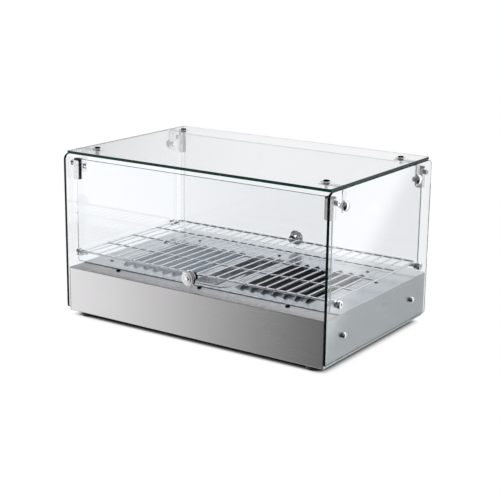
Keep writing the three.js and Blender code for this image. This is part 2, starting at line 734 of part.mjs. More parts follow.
function wireRack() {
  const straightX = RACK_X - RACK_CORNER + WELD;
  const straightY = RACK_Y - RACK_CORNER + WELD;
  const wires = [];
  for (const [, end] of ENDS) {
    wires.push(rod(LOOP_WIRE, [-straightX, end * RACK_Y, 0], [straightX, end * RACK_Y, 0]));
  }
  for (const [, side] of SIDES) {
    wires.push(rod(LOOP_WIRE, [side * RACK_X, -straightY, 0], [side * RACK_X, straightY, 0]));
    wires.push(rackCorner(side, -1), rackCorner(side, 1));
  }
  for (let i = 1; i < CROSS_BAYS; i += 1) {
    const y = -RACK_Y + (i * 2 * RACK_Y) / CROSS_BAYS;
    wires.push(rod(CROSS_WIRE, [-RACK_X, y, 0], [RACK_X, y, 0]));
  }
  const crossTop = CROSS_WIRE * Math.cos(Math.PI / 8);
  const deckZ = crossTop + DECK_WIRE * Math.cos(Math.PI / DECK_WIRE_SIDES) - WELD;
  const deckEnd = RACK_Y + LOOP_WIRE - 0.4;
  for (let i = 1; i < RACK_BAYS; i += 1) {
    const x = -RACK_X + (i * 2 * RACK_X) / RACK_BAYS;
    wires.push(rod(DECK_WIRE, [x, -deckEnd, deckZ], [x, deckEnd, deckZ], DECK_WIRE_SIDES));
  }
  const [first, ...others] = wires;
  return piece('wire_rack', build(first, others), CHROME, [0, 0, RACK_Z]);
}

// ---- Assembly ----------------------------------------------------------------------------

const base = groupOf([
  frontPanel(),
  rearPanel(),
  ...SIDES.map(([name, side]) => sidePanel(name, side)),
  bottomPlate(),
  deckPlate(),
  waterPan(),
  heaterTray(),
  ...SIDES.map(([name, side]) => heatingElement(name, side)),
]);

const controls = groupOf([
  thermostatBody(),
  thermostatShaft(),
  thermostatKnob(),
  pilotLamp(),
  switchHousing(),
  switchRocker(),
  terminalBlock(),
  cordGland(),
]);

const glassBox = groupOf([
  ...SIDES.map(([name, side]) => sidePane(name, side)),
  topPane(),
]);

const corners = new THREE.Group();
for (const [endName, end] of ENDS) {
  for (const [sideName, side] of SIDES) {
    const name = `${endName}_${sideName}`;
    corners.add(
      bracket(name, side, end),
      topBolt(name, side, end),
      sideBolt(name, side, end),
      rackStud(name, side, end),
      baseBolt(name, side, end),
      hingePivot(name, side, end),
      hingeClip(name, side, end),
      foot(name, side * FOOT_X, end * FOOT_Y),
    );
  }
}

const doors = groupOf(ENDS.flatMap(([name, end]) => [
  doorPane(name, end),
  doorKnob(name, end),
  knobScrew(name, end),
]));

const displayCase = groupOf([base, controls, glassBox, corners, doors, wireRack()]);
displayCase.name = 'hot_food_display_case';

export default displayCase;
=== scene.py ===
"""Looks of the hot food display case: louvred steel base, glass box, two flap doors, wire rack.

Pieces are built in millimetres, +Z up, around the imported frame, and become metres in make_piece().
"""

import json
import math
from functools import reduce

import bmesh
import bpy
from mathutils import Matrix, Vector
from mathutils.geometry import tessellate_polygon

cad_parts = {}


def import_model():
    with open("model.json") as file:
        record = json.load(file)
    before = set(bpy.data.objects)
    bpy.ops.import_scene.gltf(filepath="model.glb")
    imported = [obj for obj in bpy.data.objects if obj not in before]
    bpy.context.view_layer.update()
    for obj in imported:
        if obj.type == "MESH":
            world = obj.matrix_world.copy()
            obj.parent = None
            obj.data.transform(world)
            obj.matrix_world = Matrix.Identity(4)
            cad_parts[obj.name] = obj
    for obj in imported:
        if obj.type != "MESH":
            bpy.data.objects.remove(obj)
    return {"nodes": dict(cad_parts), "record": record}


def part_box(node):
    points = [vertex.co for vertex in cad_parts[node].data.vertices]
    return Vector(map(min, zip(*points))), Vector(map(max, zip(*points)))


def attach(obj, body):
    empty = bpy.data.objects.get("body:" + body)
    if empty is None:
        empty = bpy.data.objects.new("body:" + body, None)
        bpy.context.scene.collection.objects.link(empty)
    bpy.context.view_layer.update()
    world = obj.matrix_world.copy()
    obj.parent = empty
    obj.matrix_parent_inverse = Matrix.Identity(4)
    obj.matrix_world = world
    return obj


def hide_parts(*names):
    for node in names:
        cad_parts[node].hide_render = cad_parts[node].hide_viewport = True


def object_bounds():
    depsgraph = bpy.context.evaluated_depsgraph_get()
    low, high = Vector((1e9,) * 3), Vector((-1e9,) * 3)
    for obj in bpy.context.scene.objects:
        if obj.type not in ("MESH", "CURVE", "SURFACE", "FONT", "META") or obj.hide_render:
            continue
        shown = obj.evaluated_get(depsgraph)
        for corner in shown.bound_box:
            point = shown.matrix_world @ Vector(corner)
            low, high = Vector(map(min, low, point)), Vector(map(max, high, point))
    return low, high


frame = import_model()
CAD_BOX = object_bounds()

MM = 0.001
UP = (0, 0, 1)
REARWARDS = (0, 1, 0)
SIDES = (("left", -1), ("right", 1))
ENDS = (("front", -1), ("rear", 1))
CORNERS = [(end, side) for end, _ in ENDS for side, _ in SIDES]
RECORD = frame["record"]
BODY_OF = {node: body for body, nodes in RECORD["behaviour"]["bodies"].items() for node in nodes}
SLOT_OF = {part["node"]: part["material_slot"] for part in RECORD["subparts"]}

# ---- Driving values ----

CAMERA_AZIMUTH = 33.72          # degrees, from the front towards the right side
CAMERA_ELEVATION = 14.97
CAMERA_ROLL = 0.74
CAMERA_DISTANCE = 2.2673        # metres from the point it aims at
CAMERA_AIM = (0.0080, -0.0028, -0.0255)   # from the middle of the object
CAMERA_LENS = 89.53

# The studio round the case. A step is (start, end, level before, level after), with start and end in
# degrees from the front towards the left. The levels of several steps add up.
TABLE_STEPS = ((28, 46, 0.02, 1.6), (95, 125, 0.0, -0.5))
WALL_STEPS = ((25, 46, 0.2, 0.10), (95, 125, 0.0, 0.36), (135, 147, 0.0, 0.42), (152, 164, 0.0, -0.45))
SOFT_BOX = (0.62, 0.70)         # sine of the height where the overhead light starts
SOFT_BOX_LEVEL = 2.0
PANEL_STEPS = ((-112, -125, 0.0, 1.0),)
PANEL_EDGE = (-0.8597, 0.3441, -0.3774)   # normal of the plane through the panel's slanting edge
PANEL_BRIGHT = 1.5
PANEL_DARK = 0.6

# Painted contact shadow on the floor: its brightness by how open it lies to the sky.
FLOOR_SHADOW_STOPS = ((0.09, 0.0), (0.13, 0.055), (0.18, 0.23), (0.26, 0.62), (0.40, 0.90), (0.52, 1.0))

SHEET = 1.2                     # steel sheet
BEND = 1.5                      # tightest radius of a folded sheet's middle
STRIP_BEND = 0.65               # the same, at the sharper front edge of the bare strip
PANEL_FOOT = 12                 # foot of the front and rear panels
SIDE_FLANGE = 14                # flanges of the side panels
ARRIS = 0.5                     # ground edge of the glass
TOP_ARRIS = 0.9
BOLT_HOLE = 4                   # radius of the holes in the side panes and the top pane
ROUND = 48                      # sides of a turned piece
SHARP_ANGLE = 32                # degrees between faces, above which an edge is shaded sharp

LOUVRE_COUNT = 7                # on each side of the water pan
LOUVRE_FIRST_X = 63
LOUVRE_PITCH = 22.3
LOUVRE_WIDTH = 14.5
LOUVRE_HEIGHT = 5.6
LOUVRE_Y = (-112, 86)
LOUVRE_END = 8                  # length of the rounded ends
LOUVRE_STEPS = 8                # points on each rounded end

RACK_BAYS = 26
CROSS_BAYS = 4
RACK_CORNER = 8
LOOP_WIRE = 2.0                 # radii
CROSS_WIRE = 1.7
ROW_WIRE = 1.25

VENT_COUNT = 8                  # slots in the rear panel
VENT_FIRST_X = -30
VENT_PITCH = 22
VENT_LENGTH = 14
VENT_Z = (68, 72)

STRIP_SCREWS = [(x, -145.5) for x in (-182, 0, 182)]
DECK_SCREWS = [(x, 115) for x in (-187, 0, 187)] + [(x, y) for x in (-233, 233) for y in (-101, 63)]


def corner_values(name):
    """Lowest and highest corner of a CAD node, in millimetres."""
    low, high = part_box(name)
    return low / MM, high / MM


def middle(name):
    low, high = corner_values(name)
    return (low + high) / 2


def outer_first(low, high, sign):
    """Two values, the outer one first. sign is -1 at the left or front and 1 at the right or rear."""
    return (high, low) if sign > 0 else (low, high)


# ---- Materials ----


def node(tree, kind, values=None, **settings):
    """A shader node, its inputs linked to sockets or set to plain values."""
    made = tree.nodes.new("ShaderNode" + kind)
    for name, value in settings.items():
        setattr(made, name, value)
    for name, value in (values or {}).items():
        if isinstance(value, bpy.types.NodeSocket):
            tree.links.new(value, made.inputs[name])
        else:
            made.inputs[name].default_value = value
    return made


def math_node(tree, operation, first, second):
    return node(tree, "Math", {0: first, 1: second}, operation=operation).outputs[0]


def ramp(tree, value, start, end, low=0.0, high=1.0):
    """low up to start, high from end on, and a smooth step between them."""
    values = {"Value": value, "From Min": start, "From Max": end, "To Min": low, "To Max": high}
    made = node(tree, "MapRange", values, interpolation_type="SMOOTHSTEP")
    return made.outputs["Result"]


def colour_between(tree, factor, first, second):
    made = node(tree, "Mix", data_type="RGBA")
    for socket, value in ((made.inputs[0], factor), (made.inputs[6], first), (made.inputs[7], second)):
        if isinstance(value, bpy.types.NodeSocket):
            tree.links.new(value, socket)
        else:
            socket.default_value = value
    return made.outputs[2]


def shader_between(tree, factor, first, second):
    made = node(tree, "MixShader", {"Fac": factor})
    tree.links.new(first, made.inputs[1])
    tree.links.new(second, made.inputs[2])
    return made.outputs[0]


def shade(value, share=1.0):
    """A colour from one grey level or three levels, times a share."""
    levels = (value,) * 3 if isinstance(value, float) else value
    return (*(level * share for level in levels), 1.0)


def mottled(tree, texture, colour, share):
    """The colour, darker by the share where the texture is low."""
    return colour_between(tree, ramp(tree, texture, 0.3, 0.7), shade(colour, share), shade(colour))


def new_material(name):
    material = bpy.data.materials.new("look_" + name)
    material.use_nodes = True
    tree = material.node_tree
    tree.nodes.clear()
    return material, tree


def show(tree, shader):
    output = node(tree, "OutputMaterial")
    tree.links.new(shader, output.inputs["Surface"])


def principled(tree, values):
    return node(tree, "BsdfPrincipled", values).outputs[0]


def noise(tree, scale, detail=4.0, stretch=(1, 1, 1), roughness=0.55):
    place = node(tree, "TexCoord").outputs["Object"]
    mapping = node(tree, "Mapping", {"Vector": place, "Scale": stretch})
    values = {"Vector": mapping.outputs[0], "Scale": scale, "Detail": detail, "Roughness": roughness}
    return node(tree, "TexNoise", values).outputs["Fac"]


def bump(tree, height, strength, distance):
    return node(tree, "Bump", {"Height": height, "Strength": strength, "Distance": distance}).outputs[0]


def across_grain(tree, grain):
    """Direction in the surface at right angles to the brushing, on every face of a folded sheet."""
    normal = node(tree, "NewGeometry").outputs["Normal"]
    direction = [0.0, 0.0, 0.0]
    direction["xyz".index(grain)] = 1.0
    along = node(tree, "CombineXYZ", dict(zip("XYZ", direction))).outputs[0]
    return node(tree, "VectorMath", {0: normal, 1: along}, operation="CROSS_PRODUCT").outputs[0]


SCRATCHES_ACROSS = 1130.0       # scale of the brushing across and along its grain
SCRATCHES_ALONG = 23.0


def brushed_steel(name, colour, rough, grain, anisotropy=0.75):
    """Sheet with fine straight scratches along the grain axis. Its gloss spreads across them."""
    material, tree = new_material(name)
    fine = [SCRATCHES_ACROSS] * 3
    fine["xyz".index(grain)] = SCRATCHES_ALONG
    scratches = noise(tree, 1.0, 2.0, fine, 0.6)
    clouds = noise(tree, 7.0, 3.0)
    rough_fine = ramp(tree, scratches, 0.3, 0.7, rough - 0.012, rough + 0.012)
    dark, light = shade(colour, 0.975), shade(colour, 1.02)
    show(tree, principled(tree, {
        "Base Color": colour_between(tree, ramp(tree, scratches, 0.3, 0.7), dark, light),
        "Metallic": 1.0,
        "Roughness": math_node(tree, "ADD", rough_fine, ramp(tree, clouds, 0.3, 0.7, -0.01, 0.015)),
        "Anisotropic": anisotropy,
        "Tangent": across_grain(tree, grain),
    }))
    return material


def plated(name, colour, rough, variation, metallic=1.0):
    """Polished or plated metal with faint clouds and pits."""
    material, tree = new_material(name)
    clouds = noise(tree, 60.0, 4.0)
    show(tree, principled(tree, {
        "Base Color": mottled(tree, clouds, colour, 0.95),
        "Metallic": metallic,
        "Roughness": ramp(tree, clouds, 0.3, 0.7, rough, rough + variation),
        "Normal": bump(tree, noise(tree, 900.0, 2.0), 0.03, 0.00005),
    }))
    return material


def zinc_steel():
    """Galvanised sheet with its spangle."""
    material, tree = new_material("zinc_steel")
    place = node(tree, "TexCoord").outputs["Object"]
    spangle = node(tree, "TexVoronoi", {"Vector": place, "Scale": 160.0}).outputs["Color"]
    level = node(tree, "SeparateColor", {"Color": spangle}).outputs[0]
    show(tree, principled(tree, {
        "Base Color": colour_between(tree, level, shade((0.20, 0.21, 0.23)), shade((0.30, 0.31, 0.33))),
        "Metallic": 1.0,
        "Roughness": ramp(tree, level, 0.0, 1.0, 0.4, 0.6),
    }))
    return material


def moulded(name, colour, rough, grain_scale, grain_strength, shine=0.5):
    """Plastic or rubber with a moulded grain."""
    material, tree = new_material(name)
    grain = noise(tree, grain_scale, 3.0)
    show(tree, principled(tree, {
        "Base Color": mottled(tree, noise(tree, 25.0, 3.0), colour, 0.85),
        "Roughness": ramp(tree, grain, 0.3, 0.7, rough - 0.06, rough + 0.06),
        "Specular IOR Level": shine,
        "Normal": bump(tree, grain, grain_strength, 0.0001),
    }))
    return material


def heater_sheath():
    """Steel tube with the straw and blue tints of heat."""
    material, tree = new_material("heater_sheath")
    tint = ramp(tree, noise(tree, 14.0, 3.0), 0.35, 0.65)
    show(tree, principled(tree, {
        "Base Color": colour_between(tree, tint, shade((0.16, 0.12, 0.09)), shade((0.10, 0.11, 0.14))),
        "Metallic": 0.8,
        "Roughness": ramp(tree, noise(tree, 400.0), 0.3, 0.7, 0.4, 0.6),
    }))
    return material


def amber_lens():
    """Amber plastic, partly clear, with faint ribs."""
    material, tree = new_material("amber_lens")
    ribs = noise(tree, 300.0, 2.0, (1, 1, 4))
    level = ramp(tree, ribs, 0.3, 0.7)
    show(tree, principled(tree, {
        "Base Color": colour_between(tree, level, shade((0.75, 0.22, 0.02)), shade((0.95, 0.38, 0.05))),
        "Roughness": 0.12,
        "Transmission Weight": 0.35,
        "Normal": bump(tree, ribs, 0.1, 0.0002),
    }))
    return material


GLASS_TINT = (0.95, 0.962, 0.974)
SHADOW_TINT = (0.95, 0.97, 0.97)


def clear_glass_shader(tree):
    """Glass that bends and mirrors, and lets lamps through."""
    glass = principled(tree, {
        "Base Color": shade(GLASS_TINT),
        "Roughness": 0.0,
        "IOR": 1.5,
        "Transmission Weight": 1.0,
        "Normal": bump(tree, noise(tree, 5.0, 1.0), 0.02, 0.0005),
    })
    through = node(tree, "BsdfTransparent", {"Color": shade(SHADOW_TINT)})
    is_shadow = node(tree, "LightPath").outputs["Is Shadow Ray"]
    return shader_between(tree, is_shadow, glass, through.outputs[0])


def clear_glass():
    material, tree = new_material("clear_glass")
    show(tree, clear_glass_shader(tree))
    return material


def glass_edge(name, colour):
    """Ground glass edge: its green tint, with painted shade for the long path through the glass,
    looking into the pane; clear from inside it.
    """
    material, tree = new_material(name)
    grind = noise(tree, 260.0, 3.0)
    edge = principled(tree, {
        "Base Color": mottled(tree, grind, colour, 0.7),
        "Roughness": ramp(tree, grind, 0.3, 0.7, 0.10, 0.22),
        "Specular IOR Level": 0.15,
    })
    inside = node(tree, "NewGeometry").outputs["Backfacing"]
    show(tree, shader_between(tree, inside, edge, clear_glass_shader(tree)))
    return material


# The same brushed steel as the front panel, darker on the side panels as painted shade.
SHADED_SIDE_STEEL = brushed_steel("shaded_side_steel", (0.40, 0.43, 0.44), 0.25, "y")
# A lighter copy of the steel on the upward deck as painted light, and a darker one on the louvre hoods
# as painted shade.
LIT_DECK_STEEL = brushed_steel("lit_deck_steel", (0.71, 0.75, 0.79), 0.2, "x", 0.3)
SHADED_HOOD_STEEL = brushed_steel("shaded_hood_steel", (0.23, 0.26, 0.29), 0.3, "x", 0.3)
MATERIALS = {
    "brushed_stainless": brushed_steel("brushed_front", (0.63, 0.62, 0.63), 0.25, "x"),
    "bright_stainless": plated("bright_stainless", (0.68, 0.69, 0.71), 0.13, 0.08),
    "zinc_steel": zinc_steel(),
    "chrome": plated("chrome", (0.86, 0.87, 0.89), 0.04, 0.05),
    "heater_sheath": heater_sheath(),
    "clear_glass": clear_glass(),
    "black_rubber": moulded("black_rubber", (0.012, 0.012, 0.012), 0.6, 900.0, 0.25),
    "black_plastic": moulded("black_plastic", (0.02, 0.02, 0.022), 0.4, 1400.0, 0.2),
    "cream_plastic": moulded("cream_plastic", (0.70, 0.65, 0.52), 0.5, 1200.0, 0.1),
    "amber_lens": amber_lens(),
}
BRASS = plated("brass", (0.80, 0.58, 0.25), 0.15, 0.1)
BLACK_STEEL = moulded("black_steel", (0.006, 0.006, 0.007), 0.4, 800.0, 0.05, 0.0)
POLISHED_NICKEL = plated("polished_nickel", (0.92, 0.91, 0.92), 0.12, 0.05)
SATIN_NICKEL = plated("satin_nickel", (0.76, 0.75, 0.76), 0.17, 0.06, 0.8)
# Chrome darkened for the rack wires: painted shade.
SHADED_WIRE_CHROME = plated("shaded_wire_chrome", (0.69, 0.72, 0.75), 0.05, 0.05)
GREY_STEEL = moulded("grey_steel", (0.035, 0.037, 0.04), 0.45, 800.0, 0.05, 0.3)
WHITE_INK = moulded("white_ink", (0.85, 0.85, 0.84), 0.5, 1200.0, 0.02)
# One glass in three edge colours: its green tint, darkest on the side panes and lightest on the doors
# as painted shade.
PANE_EDGE = glass_edge("pane_edge", (0.0015, 0.008, 0.007))
TOP_EDGE = glass_edge("top_edge", (0.008, 0.042, 0.034))
DOOR_EDGE = glass_edge("door_edge", (0.10, 0.20, 0.19))

# ---- Mesh helpers, in millimetres ----


def new_mesh(name, vertices, faces):
    """A mesh from corners in millimetres."""
    mesh = bpy.data.meshes.new(name)
    mesh.from_pydata([[c * MM for c in v] for v in vertices], [], faces)
    return mesh


def new_object(name, data):
    made = bpy.data.objects.new(name, data)
    bpy.context.scene.collection.objects.link(made)
    return made


def make_piece(name, vertices, faces, node_name=None, body=None, slot=None, material=None,
               second_material=None, second_faces=(), sharp=SHARP_ANGLE):
    """A closed mesh that stands for a CAD node, or is an extra piece on a body.

    second_faces lists the faces that wear second_material. The last modifier keeps flat faces evenly
    shaded beside their rounded edges.
    """
    mesh = new_mesh(name, vertices, faces)
    made = new_object(name, mesh)
    slot = slot or (SLOT_OF[node_name] if node_name else None)
    mesh.materials.append(material or MATERIALS[slot])
    if second_material:
        mesh.materials.append(second_material)
        for index in second_faces:
            mesh.polygons[index].material_index = 1
    tidy_mesh(mesh, sharp)
    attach(made, body or BODY_OF[node_name])
    if node_name:
        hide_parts(node_name)
    level = made.modifiers.new("level_faces", "WEIGHTED_NORMAL")
    level.keep_sharp = True
    return made


def tidy_mesh(mesh, sharp=SHARP_ANGLE):
    """Merges double points, turns the faces outwards and shades them smooth between sharp edges."""
    work = bmesh.new()
    work.from_mesh(mesh)
    bmesh.ops.remove_doubles(work, verts=work.verts, dist=1e-6)
    bmesh.ops.recalc_face_normals(work, faces=work.faces)
    work.to_mesh(mesh)
    work.free()
    mesh.polygons.foreach_set("use_smooth", [True] * len(mesh.polygons))
    mesh.set_sharp_from_angle(angle=math.radians(sharp))
    mesh.update()


def joined(parts):
    """Several (vertices, faces) as one."""
    vertices, faces = [], []
    for part_vertices, part_faces in parts:
        start = len(vertices)
        vertices += part_vertices
        faces += [tuple(start + i for i in face) for face in part_faces]
    return vertices, faces


def stack(rings, capped=True, looped=False):
    """A skin over rings with the same number of points, its ends flat if capped or joined if looped."""
    count = len(rings[0])
    vertices = [point for ring in rings for point in ring]
    faces = []
    for ring in range(len(rings) if looped else len(rings) - 1):
        a, b = ring * count, (ring + 1) % len(rings) * count
        for i in range(count):
            j = (i + 1) % count
            faces.append((a + i, a + j, b + j, b + i))
    if capped:
        faces.append(tuple(range(count)))
        faces.append(tuple(range((len(rings) - 1) * count, len(rings) * count)))
    return vertices, faces


def lathe(profile, place, axis, sides=ROUND, radius_at=None):
    """A body turned about an axis that rises from place, from (radius, height) pairs.

    Its ends are flat, or it is a ring if the profile closes on itself.
    """
    along, origin = Vector(axis), Vector(place)
    across = along.orthogonal().normalized()
    third = along.cross(across)
    rings = []
    for radius, height in profile:
        ring = []
        for i in range(sides):
            angle = 2 * math.pi * i / sides
            size = radius_at(radius, angle) if radius_at else radius
            on_circle = across * (size * math.cos(angle)) + third * (size * math.sin(angle))
            ring.append(origin + on_circle + along * height)
        rings.append(ring)
    return stack(rings, capped=profile[0] != profile[-1])


def rounded(profile, radius, steps=3):
    """The profile with its inner corners rounded off, by no more than their sides allow."""
    made = [profile[0]]
    for before, corner, after in zip(profile, profile[1:], profile[2:]):
        c, p, q = Vector(corner), Vector(before), Vector(after)
        to_p, to_q = p - c, q - c
        if to_p.length < 1e-6 or to_q.length < 1e-6:
            made.append(corner)
            continue
        reach = min(radius, to_p.length * 0.45, to_q.length * 0.45)
        start, end = c + to_p.normalized() * reach, c + to_q.normalized() * reach
        for i in range(steps + 1):
            t = i / steps
            made.append(tuple(start * (1 - t) ** 2 + c * 2 * t * (1 - t) + end * t ** 2))
    made.append(profile[-1])
    return made


def turned_piece(name, profile, place, axis, radius, sides=ROUND, radius_at=None, **where):
    """A turned piece whose profile has its corners rounded by the radius."""
    vertices, faces = lathe(rounded(profile, radius), place, axis, sides, radius_at)
    return make_piece(name, vertices, faces, **where)


def rectangle(u, v, radii, steps=10):
    """A loop maker: rectangle u by v with round corners, moved inwards by an offset.

    radii go round the corners: low u low v, high u low v, high u high v, low u high v.
    """
    if isinstance(radii, (int, float)):
        radii = (radii,) * 4

    def loop(offset=0.0):
        corners = ((u[0], v[0]), (u[1], v[0]), (u[1], v[1]), (u[0], v[1]))
        points = []
        for k, ((cu, cv), radius) in enumerate(zip(corners, radii)):
            inward_u = 1 if cu == u[0] else -1
            inward_v = 1 if cv == v[0] else -1
            middle_u, middle_v = cu + inward_u * radius, cv + inward_v * radius
            start = math.pi + k * math.pi / 2
            for i in range(steps + 1):
                angle = start + i / steps * math.pi / 2
                size = radius - offset
                points.append((middle_u + size * math.cos(angle), middle_v + size * math.sin(angle)))
        return points

    return loop


def circle(u, v, radius):
    """A loop maker for a round hole: the offset makes it larger."""
    steps = 32

    def loop(offset=0.0):
        angles = [-2 * math.pi * i / steps for i in range(steps)]
        size = radius + offset
        return [(u + size * math.cos(angle), v + size * math.sin(angle)) for angle in angles]

    return loop


def hole(outline):
    """A loop maker for a hole with the shape of an outline: the offset makes it larger."""
    return lambda offset=0.0: outline(-offset)[::-1]


PUT = {
    "x": lambda u, v, t: (t, u, v),
    "y": lambda u, v, t: (u, t, v),
    "z": lambda u, v, t: (u, v, t),
}


def plate(loops, low, high, axis, arris):
    """A flat plate with holes, its edges ground to a chamfer. The last value lists the edge faces."""
    put = PUT[axis]
    levels = ((arris, low), (0.0, low + arris), (0.0, high - arris), (arris, high))
    vertices, faces, caps = [], [], {0: [], 3: []}
    for loop in loops:
        starts = []
        for level, (offset, t) in enumerate(levels):
            points = loop(offset)
            starts.append(len(vertices))
            vertices += [put(a, b, t) for a, b in points]
            if level in caps:
                caps[level].append((starts[-1], points))
        count = len(points)
        for lower, upper in zip(starts, starts[1:]):
            for i in range(count):
                j = (i + 1) % count
                faces.append((lower + i, lower + j, upper + j, upper + i))
    edge_faces = list(range(len(faces)))
    for rings in caps.values():
        index = [start + i for start, points in rings for i in range(len(points))]
        flat = [[Vector((a, b, 0)) for a, b in points] for start, points in rings]
        faces += [tuple(index[i] for i in triangle) for triangle in tessellate_polygon(flat)]
    return vertices, faces, edge_faces


def sweep(points, radius, sides, closed=False):
    """A round wire along points, its ends slightly domed."""
    points = [Vector(p) for p in points]
    count = len(points)
    stations = []
    side = None
    for i, point in enumerate(points):
        before = points[i - 1] if i or closed else point
        after = points[(i + 1) % count] if i < count - 1 or closed else point
        along = (after - before).normalized()
        if side is None:
            side = along.orthogonal().normalized()
        else:
            side = (side - along * side.dot(along)).normalized()
        stations.append((point, along, side, 1.0))
    if not closed:
        first, last = stations[0], stations[-1]
        for height, size in ((0.27, 0.75), (0.48, 0.35)):
            stations.insert(0, (first[0] - first[1] * radius * height, *first[1:3], size))
            stations.append((last[0] + last[1] * radius * height, *last[1:3], size))
    rings = []
    for point, along, side, size in stations:
        third = along.cross(side)
        ring = []
        for i in range(sides):
            angle = 2 * math.pi * i / sides
            ring.append(point + (side * math.cos(angle) + third * math.sin(angle)) * radius * size)
        rings.append(ring)
    return stack(rings, capped=not closed, looped=closed)


def block(low, high, bevel):
    """A box between two corners, its edges rounded by the bevel."""
    work = bmesh.new()
    bmesh.ops.create_cube(work, size=1.0)
    low, high = Vector(map(min, low, high)), Vector(map(max, low, high))
    for vertex in work.verts:
        vertex.co = Vector(((a + b) / 2 + c * (b - a)) for a, b, c in zip(low, high, vertex.co))
    if bevel:
        bmesh.ops.bevel(work, geom=work.edges[:], offset=bevel, segments=2, profile=0.5, affect="EDGES")
    work.verts.index_update()
    vertices = [tuple(v.co) for v in work.verts]
    faces = [tuple(v.index for v in f.verts) for f in work.faces]
    work.free()
    return vertices, faces


def folded(path, thickness, axis, start, end, bend):
    """A folded sheet: a section along its middle line (u, v), run along an axis from start to end.

    Its corners are rounded off so far that their tightest radius is the bend.
    """
    line = [Vector(p) for p in rounded(path, bend * 1.4, 5)]
    outer, inner = [], []
    for i, point in enumerate(line):
        before = line[i - 1] if i else point
        after = line[i + 1] if i < len(line) - 1 else point
        along = (after - before).normalized()
        normal = Vector((-along.y, along.x)) * thickness / 2
        outer.append(tuple(point + normal))
        inner.append(tuple(point - normal))
    section = outer + inner[::-1]
    put = PUT[axis]
    count = len(section)
    vertices = [put(a, b, start) for a, b in section] + [put(a, b, end) for a, b in section]
    faces = [(i, (i + 1) % count, count + (i + 1) % count, count + i) for i in range(count)]
    half = len(outer)
    for shift in (0, count):
        for i in range(half - 1):
            faces.append((shift + i, shift + i + 1, shift + count - 2 - i, shift + count - 1 - i))
    return vertices, faces


def cut(piece, cutters):
    """Cuts (vertices, faces) bodies out of a piece."""
    mesh = new_mesh("cutter", *joined(cutters))
    tidy_mesh(mesh)
    tool = new_object("cutter", mesh)
    modifier = piece.modifiers.new("cut", "BOOLEAN")
    modifier.operation = "DIFFERENCE"
    modifier.solver = "EXACT"
    modifier.object = tool
    bpy.context.view_layer.update()
    graph = bpy.context.evaluated_depsgraph_get()
    made = bpy.data.meshes.new_from_object(piece.evaluated_get(graph))
    piece.modifiers.remove(modifier)
    piece.data = made
    tidy_mesh(made)
    bpy.data.objects.remove(tool)


# ---- Base ----


def channel(name, sign, bend):
    """A base panel with a top flange, an outer wall and a short foot, folded from one sheet."""
    low, high = corner_values(name)
    outer, inner = outer_first(low.y, high.y, sign)
    half = SHEET / 2
    path = [
        (inner, high.z - half),
        (outer - sign * half, high.z - half),
        (outer - sign * half, low.z + half),
        (outer - sign * PANEL_FOOT, low.z + half),
    ]
    vertices, faces = folded(path, SHEET, "x", low.x, high.x, bend)
    return make_piece(f"{name}_sheet", vertices, faces, name)


def front_panel():
    channel("front_panel", -1, STRIP_BEND)


def rear_panel():
    """The rear channel with its vents and the holes for the controls and the cord."""
    panel = channel("rear_panel", 1, BEND)
    back = corner_values("rear_panel")[1].y
    height = middle("pilot_lamp").z
    run = (back - 8, back + 8)
    cutters = []
    for name, radius in (("thermostat_shaft", 4.5), ("pilot_lamp", 5.2), ("cord_gland", 7.4)):
        place = (middle(name).x, back, height)
        cutters.append(lathe([(radius, -8), (radius, 8)], place, REARWARDS))
    x = middle("switch_housing").x
    cutters.append(block((x - 7, run[0], height - 11), (x + 7, run[1], height + 11), 0))
    for i in range(VENT_COUNT):
        start = VENT_FIRST_X + i * VENT_PITCH
        slot = rectangle((start, start + VENT_LENGTH), VENT_Z, 1.9, 6)
        cutters.append(plate([slot], *run, "y", 0.01)[:2])
    cut(panel, cutters)


def side_panel(side, sign):
    """A flat wall with an inward flange along its top and its bottom."""
    low, high = corner_values(f"{side}_side_panel")
    outer_x = outer_first(low.x, high.x, sign)[0]
    inner_x = outer_x - sign * SHEET
    outline = rectangle((low.y, high.y), (low.z, high.z), 0.6, 3)
    wall = plate([outline], min(inner_x, outer_x), max(inner_x, outer_x), "x", 0.35)[:2]
    start, end = outer_x - sign * SIDE_FLANGE, inner_x + sign * 0.4
    top = block((start, low.y + 52.5, high.z - SHEET), (end, high.y - 25, high.z), 0.25)
    bottom = block((start, low.y + 15, low.z), (end, high.y - 15, low.z + SHEET), 0.25)
    vertices, faces = joined([wall, top, bottom])
    # The wall wears the darker copy of the steel: painted shade.
    make_piece(f"{side}_side_sheet", vertices, faces, f"{side}_side_panel", material=SHADED_SIDE_STEEL)


def louvre_footprint(x, side):
    """The loop of a louvre's hole: straight along the mouth, rounded at both ends of the back."""
    points = [(x, LOUVRE_Y[0])]
    for end, sign in ((LOUVRE_Y[0] + LOUVRE_END, -1), (LOUVRE_Y[1] - LOUVRE_END, 1)):
        for i in range(1, LOUVRE_STEPS + 1)[::-sign]:
            angle = i / LOUVRE_STEPS * math.pi / 2
            points.append((
                x - side * LOUVRE_WIDTH * math.sin(angle),
                end + sign * LOUVRE_END * math.cos(angle),
            ))
    points.append((x, LOUVRE_Y[1]))
    if side > 0:
        points.reverse()
    return lambda offset=0.0: points


def hood_height(rise):
    """Height share of a louvre's hood, from 0 at its foot to 1 at its lip."""
    return 0.8 * rise + 0.2 * rise * rise * (3 - 2 * rise)


